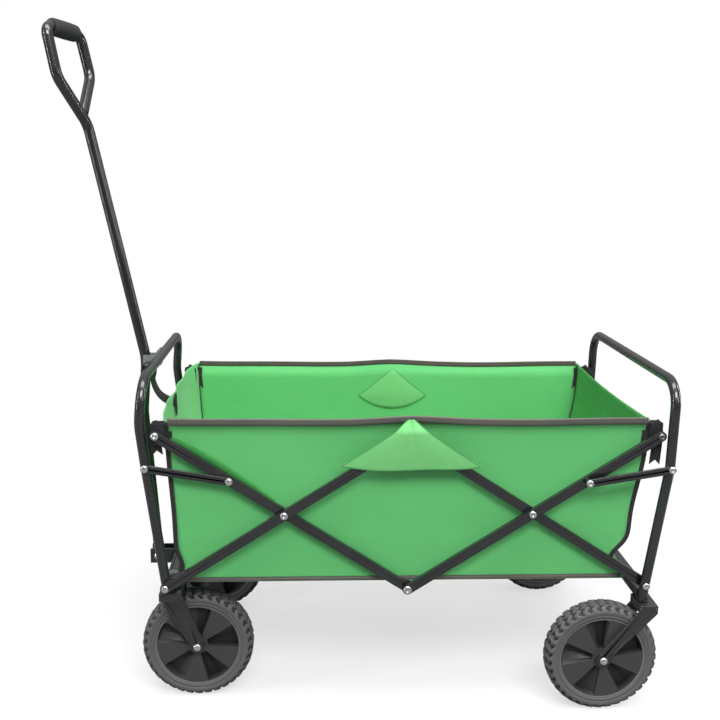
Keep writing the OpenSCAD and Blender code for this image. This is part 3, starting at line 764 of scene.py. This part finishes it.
def end_place(side, seed, bulge=0.0):
    """The place on an end panel for u across it and v up it; slack pulls it into long soft folds, and
    bulge is how far its top edge stands out between the corners."""
    def place(u, v):
        z = FLOOR_Z - 0.001 + (RIM_Z - FLOOR_Z) * v
        y = (2 * u - 1) * (half_width(z) - 0.0015)
        middle = 1 - (2 * u - 1) ** 2
        belly = 0.006 * middle * math.sin(math.pi * min(1, v * 0.9)) - 0.005 * middle * v**3
        fold = 0.0035 * middle * math.sin(7 * (u - 0.5) + 5 * v + seed) * math.sin(math.pi * v)
        pull = edge_pull(z, side) * (2 * u - 1) ** 2
        ripple = slack(y, z, 0.004, seed) * middle * math.sin(math.pi * v)
        x = half_length(z) - 0.001 - pull + belly + fold + ripple
        x += bulge * (1 - abs(2 * u - 1) ** 5) * ease((v - 0.35) / 0.65)
        x += 0.12 * bulge * math.sin(23 * u + 1.0) * middle * ease((v - 0.5) / 0.5)
        sag = (0.004 - 0.25 * bulge) * middle * ease((v - 0.7) / 0.3)
        return Vector((MID + side * x, y, z - sag))
    return place


print("tub half widths", round(half_width(0.3), 4), round(half_width(RIM_Z), 4))

# %% Cutting and hanging the panels


def crumple(made):
    """Hang a piece from the tub's body, with a mesh of its own."""
    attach(made, "tub")
    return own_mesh(made)


side_flat = (2 * RIM_HALF, RIM_Z - FLOOR_Z + 0.008)
side_near = lay("side_panel_near", side_place(-1), 90, 40, side_flat, GREEN_FABRIC)
side_far = lay("side_panel_far", side_place(1), 90, 40, side_flat, GREEN_FABRIC)
end_flat = (2 * RIM_Y, RIM_Z - FLOOR_Z + 0.006)
FRONT_END = end_place(-1, 5.0, 0.017)
end_front = lay("end_panel_front", FRONT_END, 90, 46, end_flat, GREEN_END)
# The rear end panel gets the darker copy of the green: painted shade on its inside face.
end_rear = lay("end_panel_rear", end_place(1, 2.2), 60, 40, end_flat, GREEN_PAINTED_SHADE)
floor_flat = (2 * FLOOR_HALF, 2 * SIDE_Y)
floor_cloth = lay("floor_cloth",
                  lambda u, v: Vector((MID + (2 * u - 1) * (FLOOR_HALF - 0.004),
                                       (2 * v - 1) * (SIDE_Y - 0.003), FLOOR_Z + 0.0008)),
                  24, 16, floor_flat, GREEN_INNER)
for made, node in ((side_near, "tub_side_near"), (side_far, "tub_side_far"), (end_front, "tub_front"),
                   (end_rear, "tub_rear"), (floor_cloth, "tub_floor")):
    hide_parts(node)
    print(made.name, "area", round(made["area"], 4))

# %% [markdown]
# The floor is four stiff boards in fabric sleeves, so that it can fold in zigzag. A covered board is
# rounder than wood: its cover is pulled over thin foam and crowns a little between the seams.

# %% Covered floor boards


def board(name, low, high, finish):
    points, n, m = [], 20, 28
    for face in (1, -1):
        for v in np.linspace(-1, 1, m):
            for u in np.linspace(-1, 1, n):
                edge = (1 - abs(u) ** 10) * (1 - abs(v) ** 14)
                x = (low.x + high.x) / 2 + (high.x - low.x) / 2 * u
                y = (low.y + high.y) / 2 + (high.y - low.y) / 2 * v
                thick = (high.z - low.z) / 2 * (0.45 + 0.55 * edge ** 0.35)
                crown = 0.0012 * (1 - u * u) * (1 - v * v) if face > 0 else 0.0
                points.append((x, y, (low.z + high.z) / 2 + face * thick + crown))
    top = grid_faces(m, n)
    under = [tuple(m * n + c for c in face[::-1]) for face in top]
    border = ([j for j in range(n)] + [i * n + n - 1 for i in range(1, m)]
              + [(m - 1) * n + j for j in range(n - 2, -1, -1)] + [i * n for i in range(m - 2, 0, -1)])
    wall = [(border[k - 1], m * n + border[k - 1], m * n + border[k], border[k]) for k in range(len(border))]
    cloth = [(p[0], p[1]) for p in points]
    return piece(name, points, top + under + wall, finish, cloth)


BOARD_LOW, BOARD_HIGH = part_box("floor_boards")
board_step = (BOARD_HIGH.x - BOARD_LOW.x + 0.003) / 4
boards = []
for k in range(4):
    left = BOARD_LOW.x + k * board_step
    low = Vector((left, BOARD_LOW.y, BOARD_LOW.z))
    high = Vector((left + board_step - 0.003, BOARD_HIGH.y, BOARD_HIGH.z))
    boards.append(crumple(board(f"floor_board_{k + 1}", low, high, GREEN_INNER)))
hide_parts("floor_boards")
print("boards", len(boards), "each", round(board_step - 0.003, 3), "m long")

# %% [markdown]
# ## Hems and bindings
# A cut edge frays, so a band of webbing is folded over it and stitched down. The bands are drawn along
# the edge of the very sheet that they finish: the path is read back from the sheet's own formula.

# %% Grey-brown hems on the long rims


def hem_section(width, thick):
    """A folded band seen from its end: two leaves round the cloth, fuller at the fold."""
    pts = []
    for k in range(9):
        a = math.pi * k / 8
        pts.append((-0.5 * thick * math.cos(a), 0.0012 + 0.5 * thick * math.sin(a)))
    lower = [(0.42 * thick, -width * 0.5), (0.46 * thick, -width), (0.2 * thick, -width - 0.0004)]
    return pts + lower + [(-x, y) for x, y in lower[::-1]]


def edge_path(place, v, steps, low=0.0, high=1.0):
    return [place(u, v) for u in np.linspace(low, high, steps)]


rims = []
for label, side in SIDES:
    place = side_place(side)
    path = [p + Vector((0, 0, 0.0002)) for p in edge_path(place, 1.0, 160, 0.003, 0.997)]
    # The far hem is painted darker than the near one: painted shade, not a different webbing.
    webbing, width = (RIM_WEBBING, 0.0092) if side < 0 else (SHADED_HEM_WEBBING, 0.0062)
    made = draw(f"rim_webbing_{label}", path, (0, side * 0.32, 1.0), hem_section(width, 0.0038), webbing)
    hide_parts(f"rim_{label}")
    rims.append(made)
    low_path = edge_path(place, 0.016, 120, 0.012, 0.988)
    low_path = [p + Vector((0, side * 0.0002, 0)) for p in low_path]
    low_hem = draw(f"lower_webbing_{label}", low_path, (0, 0, 1), strip(0.0034, 0.0075), RIM_WEBBING)
    rims.append(low_hem)
for made in rims:
    crumple(made)
print("hems", len(rims))

# %% Black bindings on the four corner seams

bindings = []
for label, side in SIDES:
    place = side_place(side)
    for end, u in (("front", 0.0), ("rear", 1.0)):
        proud = Vector(((u - 0.5) * 0.003, side * 0.0004, 0))
        path = [place(u, v) + proud for v in np.linspace(0.0, 0.985, 60)]
        bindings.append(draw(f"corner_binding_{end}_{label}", path, (0, side, 0),
                             strip(0.0075, 0.0026), BLACK_WEBBING))
for made in bindings:
    crumple(made)
print("bindings", len(bindings))

# %% The fold of cloth that the near front arm pinches

arm = pin("front_scissor") - pin("front_corner")
above_arm = Vector((-arm.z, 0, arm.x)).normalized() * 0.0085
pinch_path = []
for t in np.linspace(0.1, 0.9, 40):
    swell = math.sin(math.pi * ((t - 0.1) / 0.8) ** 0.7)
    spot = pin("front_corner") + arm * t + above_arm * (0.5 + 0.75 * swell)
    pinch_path.append(spot - Vector((0, half_width(spot.z) + 0.0022, 0)))
# The fold's ridge is real geometry; its deep green colour is painted shade.
pinch = draw("pinched_fold_near", pinch_path, (0, -1, 0), strip(0.0105, 0.0056), GREEN_CREASE_SHADE)
crumple(pinch)
print("pinched fold", len(pinch_path), "points long")

# %% [markdown]
# ## The darts over the middle pivots
# The scissor bars cross just under the hem, so a triangular flap is sewn over them. It hangs from a
# point on the hem, stands out over the rivet heads, and opens to a curved lower edge. One seam runs
# from the point down one edge, along the bottom and up the other. On the inside of the tub the same
# dart shows as a lens-shaped patch.

# %% The triangular flaps

FLAP_LOW, FLAP_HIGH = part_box("flap_near")
FLAP_TOP = RIM_Z - 0.004
FLAP_Y = -FLAP_LOW.y - 0.0016
flap_flat = (FLAP_HIGH.x - FLAP_LOW.x, FLAP_TOP - FLAP_LOW.z + 0.012)


def flap_place(side):
    """The place on a flap, for u across it and v down it."""
    def place(u, v):
        w = 2 * u - 1
        half = 0.004 + (FLAP_HIGH.x - FLAP_LOW.x - 0.006) / 2 * v
        x = MID + 0.001 + w * half
        bottom = FLAP_LOW.z + 0.001 + 0.006 * abs(w) ** 1.6 + 0.0014 * math.sin(5 * w + 0.8)
        z = FLAP_TOP + (bottom - FLAP_TOP) * v + 0.004 * (1 - v) ** 3
        out = RIM_Y + 0.003 + (FLAP_Y - RIM_Y - 0.003) * ease(v / 0.22)
        lift = 0.0016 * math.cos(w * math.pi / 2) * math.sin(math.pi * v) - 0.0009 * abs(w) ** 4
        crease = -0.0022 * math.exp(-((abs(w) - 0.06) / 0.08) ** 2) * (1 - v) ** 2
        return Vector((x, side * (out + lift + crease), z))
    return place


flaps, flap_seams = [], {}
for label, side in SIDES:
    place = flap_place(side)
    made = lay(f"flap_panel_{label}", place, 50, 30, flap_flat, GREEN_FLAP)
    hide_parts(f"flap_{label}")
    flaps.append(made)
    left = [place(0.008, v) for v in np.linspace(0.02, 1, 30)]
    base = [place(u, 0.996) for u in np.linspace(0.008, 0.992, 50)]
    right = [place(0.992, v) for v in np.linspace(1, 0.02, 30)]
    seam = draw(f"flap_seam_{label}", left + base[1:] + right[1:], (0, side, 0),
                strip(0.0022, 0.0019), THREAD)
    flap_seams[label] = seam
    crumple(seam)
for made in flaps:
    crumple(made)
print("flaps", [round(f["area"], 4) for f in flaps])

# %% The lens-shaped patches inside, and their stitching


def patch_place(side):
    panel = side_place(side)

    def place(u, v):
        w = 2 * u - 1
        top = RIM_Z - 0.013 - 0.052 * abs(w)
        low = RIM_Z - 0.065 - 0.027 * (1 - w * w) ** 0.9
        z = low + (top - low) * v
        x = MID + 0.006 + 0.067 * w
        t = (z - FLOOR_Z + 0.002) / (RIM_Z - FLOOR_Z + 0.002)
        p = panel(0.5 + (x - MID) / (2 * half_length(z)), t)
        rise = 0.0016 + 0.0024 * (1 - w * w) * math.sin(math.pi * v)
        return Vector((x, p.y - side * rise, p.z))
    return place


for label, side in SIDES:
    place = patch_place(side)
    made = lay(f"inside_patch_{label}", place, 36, 16, (0.134, 0.062), GREEN_FLAP, 0.0008)
    lower = [place(u, 0.0) for u in np.linspace(0, 1, 40)]
    upper = [place(u, 1.0) for u in np.linspace(1, 0, 40)]
    ring = [p - Vector((0, side * 0.0006, 0)) for p in lower + upper[1:]]
    stitch = draw(f"inside_patch_seam_{label}", ring, (0, side, 0), strip(0.0012, 0.0009), THREAD)
    crumple(stitch)
    crumple(made)
print("patches made")

# %% [markdown]
# ## Straps
# Webbing is flat and stiff along its edge: it bends only across its width. The strap is drawn along a
# soft curve through a few points. Its loop stays on the hoop's bar with the frame, and the part that
# hangs goes with the tub. The hook-and-loop tabs are laid as sheets instead of drawn, so that their
# ends can be cut to a V, which keeps webbing from fraying.

# %% The strap from the front hoop, and its bound slot

STRAP_LOW, STRAP_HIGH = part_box("tub_strap")
HOOP_LOW, HOOP_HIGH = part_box("front_hoop")
STRAP = strip(0.017, 0.0018)
WRAP = 0.0094
bar_x, bar_z = HOOP_LOW.x + 0.008, HOOP_HIGH.z - 0.008
slot_u = 0.5 - 0.036 / (2 * RIM_Y)
slot_at = FRONT_END(slot_u, 0.955)
slot_down = (FRONT_END(slot_u, 0.90) - FRONT_END(slot_u, 0.99)).normalized()
slot_in = Vector((-slot_down.z, 0, slot_down.x)).normalized()
slot_in *= 1 if slot_in.x > 0 else -1

round_bar = [Vector((math.sin(a), 0, math.cos(a))) for a in np.linspace(-2.2, 2.0, 14)]
bar_loop = [Vector((bar_x + WRAP * out.x, STRAP_LOW.y + 0.004, bar_z + WRAP * out.z)) for out in round_bar]
strap_loop = draw("front_strap_loop", bar_loop, round_bar, STRAP, BLACK_WEBBING)
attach(strap_loop, "front_frame")

fall = smooth_path([bar_loop[-1], (bar_x + 0.006, STRAP_LOW.y + 0.012, bar_z - 0.026),
                    (bar_x + 0.012, STRAP_LOW.y + 0.034, bar_z - 0.052),
                    slot_at - slot_in * 0.006 + Vector((0, -0.014, 0.001)),
                    slot_at + slot_in * 0.002 + Vector((0, 0.001, 0))], 8)
hanging = [Vector((0.75, -0.45, 0.48 - 0.2 * k / len(fall))) for k in range(len(fall))]
strap = draw("front_strap", fall, hanging, STRAP, BLACK_WEBBING)
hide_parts("tub_strap")
crumple(strap)
strap_path = bar_loop + fall[1:]
print("strap length", round(sum((b - a).length for a, b in zip(strap_path, strap_path[1:])), 3))

# %% The strap's tail inside the tub, and the slot's binding

inner = slot_at + slot_in * 0.003
tail_path = smooth_path([inner + Vector((0, 0.001, 0.0)),
                         inner + slot_down * 0.012 + Vector((0.0008, 0.004, 0)),
                         inner + slot_down * 0.033 + Vector((0.0008, 0.012, 0))], 8)
tail_widths = [0.8] * (len(tail_path) - 7) + [1.15, 1.2, 1.0, 0.75, 0.5, 0.3, 0.1]
tail = draw("front_strap_tail", tail_path, tuple(slot_in), strip(0.014, 0.0018), BLACK_WEBBING, tail_widths)
crumple(tail)
slot_ring = []
for a in np.linspace(0, 2 * math.pi, 33):
    wide = Vector((0, 0.0115 * math.cos(a), 0))
    slot_ring.append(slot_at + slot_in * 0.0022 + wide - slot_down * 0.0105 * math.sin(a))
bound = draw("slot_binding", slot_ring, tuple(slot_in), strip(0.0036, 0.0022), BLACK_WEBBING)
crumple(bound)


def slot_place(u, v):
    """The place on the dark disc that paints the shadow inside the slot, for u round it and v out from its
    middle.
    """
    turned = 2 * math.pi * u
    spot = slot_at + slot_in * (0.0012 + 0.0002 * v) + Vector((0, 0.0105 * v * math.cos(turned), 0))
    return spot - slot_down * 0.0095 * v * math.sin(turned)


# A dark disc set in the slot: painted shadow where the slot opens into the tub.
slot_shadow_disc = lay("slot_shadow", slot_place, 33, 6, (0.03, 0.01), BLACK_WEBBING, 0.0004)
crumple(slot_shadow_disc)
print("slot bound, tail", len(tail_path), "points long")

# %% Hook-and-loop tabs at the four corners


def tab(name, points, up, width, body, notch=0.008):
    """A band along a soft curve, its end cut to a swallow's tail."""
    path = smooth_path(points, 8)
    run = np.concatenate([[0.0], np.cumsum([(b - a).length for a, b in zip(path, path[1:])])])

    def place(u, v):
        s = v * (run[-1] - notch * (1 - abs(2 * u - 1)))
        k = min(int(np.searchsorted(run, s, side="right")) - 1, len(path) - 2)
        ahead = path[k + 1] - path[k]
        across = ahead.normalized().cross(Vector(up)).normalized()
        return path[k] + ahead * ((s - run[k]) / ahead.length) + across * (u - 0.5) * width

    made = lay(name, place, 13, 30, (width, float(run[-1])), BLACK_WEBBING, 0.002)
    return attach(made, body)


for label, side in SIDES:
    for end, way, joint in (("front", -1, "front_corner"), ("rear", 1, "rear_corner")):
        corner = pin(joint) + Vector((0, side * 0.2055, 0))
        long = 0.034 if way < 0 else 0.052
        outer = [(-0.008, 0.0065, 0.02), (-0.001, 0.008, 0.006),
                 (0.0, 0.0072, -0.012), (-0.002, 0.0065, -long)]
        inward = [(-0.019, 0.0045, 0.018), (-0.0185, 0.005, 0.0), (-0.021, 0.0045, -0.026)]
        for letter, spots, width in (("a", outer, 0.017), ("b", inward, 0.014)):
            points = [corner + Vector((way * x, side * y, z)) for x, y, z in spots]
            tab(f"corner_tab_{end}_{label}_{letter}", points, (0, side, 0), width, f"{end}_corners")
print("tabs made")

# %% [markdown]
# ## The foam grip
# The grip is a tube of closed-cell foam pushed over the handle. It bulges a little between the ends,
# which are cut square and soften with use. Its axis is found from the CAD sleeve by its longest spread.

# %% Grip


def axis_of(node):
    """The two ends of a straight round part, and its radius, from the spread of its points."""
    co = np.array([v.co for v in NODES[node].data.vertices], float)
    centre = (co.min(0) + co.max(0)) / 2
    _, _, spread = np.linalg.svd(co - co.mean(0), full_matrices=False)
    along = (co - centre) @ spread[0]
    across = np.linalg.norm(co - centre - np.outer(along, spread[0]), axis=1)
    a, b = centre + spread[0] * along.min(), centre + spread[0] * along.max()
    return Vector(a), Vector(b), float(across.max())


def grip_mesh(a, b, radius, steps=60, around=40):
    """A sleeve from a to b, in rings that swell in the middle and round off at the ends."""
    spots = [a + (b - a) * t for t in np.linspace(0, 1, steps)]
    turns = [2 * math.pi * k / around for k in range(around)]
    ahead = (b - a).normalized()
    up = Vector((0, 0, 1)) - ahead.z * ahead
    up.normalize()
    side = ahead.cross(up)
    points = []
    for k, spot in enumerate(spots):
        t = k / (steps - 1)
        end = min(t, 1 - t) * (b - a).length / 0.005
        swell = radius * (0.66 + 0.34 * min(1.0, end) ** 0.4) * (0.965 + 0.045 * math.sin(math.pi * t) ** 0.6)
        for turned in turns:
            c, s = math.cos(turned), math.sin(turned)
            r = swell * (1 - 0.03 * max(0.0, -s) ** 2)
            points.append(spot + side * c * r + up * s * r)
    caps = [tuple(range(around))[::-1], tuple((steps - 1) * around + k for k in range(around))]
    return points, grid_faces(steps, around, True) + caps


grip_start, grip_end, grip_radius = axis_of("handle_grip")
grip_points, grip_faces = grip_mesh(grip_start, grip_end, grip_radius)
grip = piece("grip_sleeve", grip_points, grip_faces, GRIP_FOAM)
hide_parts("handle_grip")
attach(grip, "handle")
print("grip", round((grip_end - grip_start).length, 3), "m long")

# %% [markdown]
# ## Folded edges on the forks
# A fork is pressed from sheet, and the press turns its edges over to stiffen them. The turned edge is
# the bright line that runs down the outside of a fork, so each outer arm gets two, from the crown to
# the axle.

# %% Turned edges of the fork arms


def top_span(node, side):
    """The X span of a fork near its top, on one side."""
    low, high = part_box(node)
    xs = [v.co.x for v in NODES[node].data.vertices if v.co.z > high.z - 0.005 and v.co.y * side > 0]
    return min(xs) + 0.002, max(xs) - 0.002


def fork_edges(name, node, body, joint, side):
    """Ribs along both edges of a fork's outer arm."""
    low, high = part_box(node)
    x, z = at(joint)
    face = low.y if side < 0 else high.y
    top = high.z - 0.004
    left, right = top_span(node, side)
    for n, (x0, x1) in enumerate(((left, x - 0.0105), (right, x + 0.0105))):
        path = smooth_path([(x0, face, top), (x0 + (x1 - x0) * 0.12, face, top - 0.014),
                            (x1, face, z + 0.006)], 8)
        edge = draw(f"{name}_{n}", path, (0, side, 0), strip(0.0042, 0.0036), BLACK_PRESSING)
        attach(edge, body)


fork_edges("castor_near_edge", "castor_near_fork", "castor_near", "spin_front_near", -1)
fork_edges("castor_far_edge", "castor_far_fork", "castor_far", "spin_front_far", 1)
fork_edges("rear_edge_near", "rear_forks", "rear_frame", "spin_rear_near", -1)
fork_edges("rear_edge_far", "rear_forks", "rear_frame", "spin_rear_far", 1)
print("fork edges made")

# %% [markdown]
# ## The sheets, hung from the tub
# The lesser of each sheet's laid area and its cut size is worked out, and the sheets are hung from the tub.
# The boards are stiff, in a snug cover.

# %% Sheets and pads

for label, made in (("near", side_near), ("far", side_far)):
    min(made["area"], side_flat[0] * side_flat[1])
for made in (end_front, end_rear):
    min(made["area"], end_flat[0] * end_flat[1])
for label, made in (("near", flaps[0]), ("far", flaps[1])):
    min(made["area"], flap_flat[0] * flap_flat[1])
for made in (side_near, side_far, end_front, end_rear, floor_cloth):
    crumple(made)
print("declared", 5 + len(flaps), "sheets and", len(boards), "pads")

# %% Pieces listed by finish

SLOTS = {
    "green_fabric": [side_near, side_far, end_front, end_rear, *flaps],
    "green_inner": [floor_cloth, *boards],
    "rim_webbing": rims,
    "black_webbing": [*bindings, strap_loop, strap, tail, bound, slot_shadow_disc],
    "grip_foam": [grip],
}
for name, members in SLOTS.items():
    for made in members:
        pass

# %% [markdown]
# ## Studio
# The camera sees a white floor and a white sky. For every other ray a Light Path node makes both much
# darker, so that black gloss stays black and each light draws a clean line in it. The key is a large
# soft box high in front. A weaker one overhead opens the inside of the tub, tall narrow strips at the
# left and right edge the bars with light, and a small weak box lifts the right.

# %% The floor


def seen(tree):
    """1 for what the camera sees for itself, 0 for what it sees by reflection or as light."""
    return tree.nodes.new("ShaderNodeLightPath").outputs["Is Camera Ray"]


floor_paint = Finish("studio_floor", (0.86, 0.86, 0.86), 0.9)
speckle = floor_paint.noise(3, 2)
brightness = Wire(floor_paint, seen(floor_paint.tree)) * (0.97 + 0.03 * speckle)
floor_paint.feed("Base Color", floor_paint.mix(brightness, (0.22, 0.22, 0.22), (0.9, 0.9, 0.9)))
away = floor_paint.node("ShaderNodeVectorMath", {"operation": "LENGTH"}, {0: floor_paint.where()}, 1)
fade = floor_paint.node("ShaderNodeMapRange", {"interpolation_type": "SMOOTHSTEP"},
                        {0: away, 1: 0.5, 2: 2.0, 3: 0.62, 4: 1.0})
white = floor_paint.node("ShaderNodeEmission", {}, {"Color": (1, 1, 1, 1), "Strength": 1.0})
far_away = fade * Wire(floor_paint, seen(floor_paint.tree))
blend = floor_paint.node("ShaderNodeMixShader", {}, {0: far_away, 2: white})
floor_paint.tree.links.new(floor_paint.shader.outputs[0], blend.socket.node.inputs[1])
floor_paint.tree.links.new(blend.socket, floor_paint.tree.nodes["Material Output"].inputs["Surface"])
ground = piece("studio_floor", [(-30, -30, 0), (30, -30, 0), (30, 30, 0), (-30, 30, 0)],
               [(0, 1, 2, 3)], floor_paint)
print("floor laid")

# %% The sky

sky = bpy.data.worlds.new("sky")
sky.use_nodes = True
sky_tree = sky.node_tree
way = sky_tree.nodes.new("ShaderNodeSeparateXYZ")
sky_tree.links.new(sky_tree.nodes.new("ShaderNodeTexCoord").outputs["Generated"], way.inputs[0])
glow = sky_tree.nodes.new("ShaderNodeMapRange")
sky_tree.links.new(way.outputs[2], glow.inputs["Value"])
for label, value in (("From Min", 0.0), ("From Max", 1.0), ("To Min", 0.16), ("To Max", 0.75)):
    glow.inputs[label].default_value = value
strength = sky_tree.nodes.new("ShaderNodeMix")
sky_tree.links.new(seen(sky_tree), strength.inputs[0])
sky_tree.links.new(glow.outputs[0], strength.inputs[2])
strength.inputs[3].default_value = 1.0
sky_tree.nodes["Background"].inputs["Color"].default_value = (1, 1, 1, 1)
sky_tree.links.new(strength.outputs[0], sky_tree.nodes["Background"].inputs["Strength"])
bpy.context.scene.world = sky
print("sky hung")

# %% The lights


def softbox(name, place, aim, size, watts):
    light = bpy.data.lights.new(name, "AREA")
    light.shape = "RECTANGLE"
    light.size, light.size_y = size
    light.energy = watts
    made = bpy.data.objects.new(name, light)
    bpy.context.scene.collection.objects.link(made)
    made.location = place
    made.rotation_euler = (Vector(aim) - Vector(place)).to_track_quat("-Z", "Y").to_euler()
    return made


softbox("overhead", (MID, -0.5, 2.6), (MID, 0, 0.4), (2.4, 0.8), 40)
softbox("front_key", (0.5, -2.7, 3.0), (MID, 0, 0.35), (2.4, 1.2), 112)
softbox("left_edge", (-2.17, -0.88, 1.0), (MID - 0.4, 0, 0.7), (0.05, 1.7), 13)
softbox("right_fill", (2.2, 0.2, 1.1), (MID, 0, 0.5), (0.06, 1.5), 10)
softbox("right_front", (2.6, -2.2, 1.6), (MID, 0, 0.4), (0.8, 0.8), 10)
bpy.context.scene.view_settings.view_transform = "Standard"
bpy.context.scene.view_settings.look = "None"
print("studio lit")
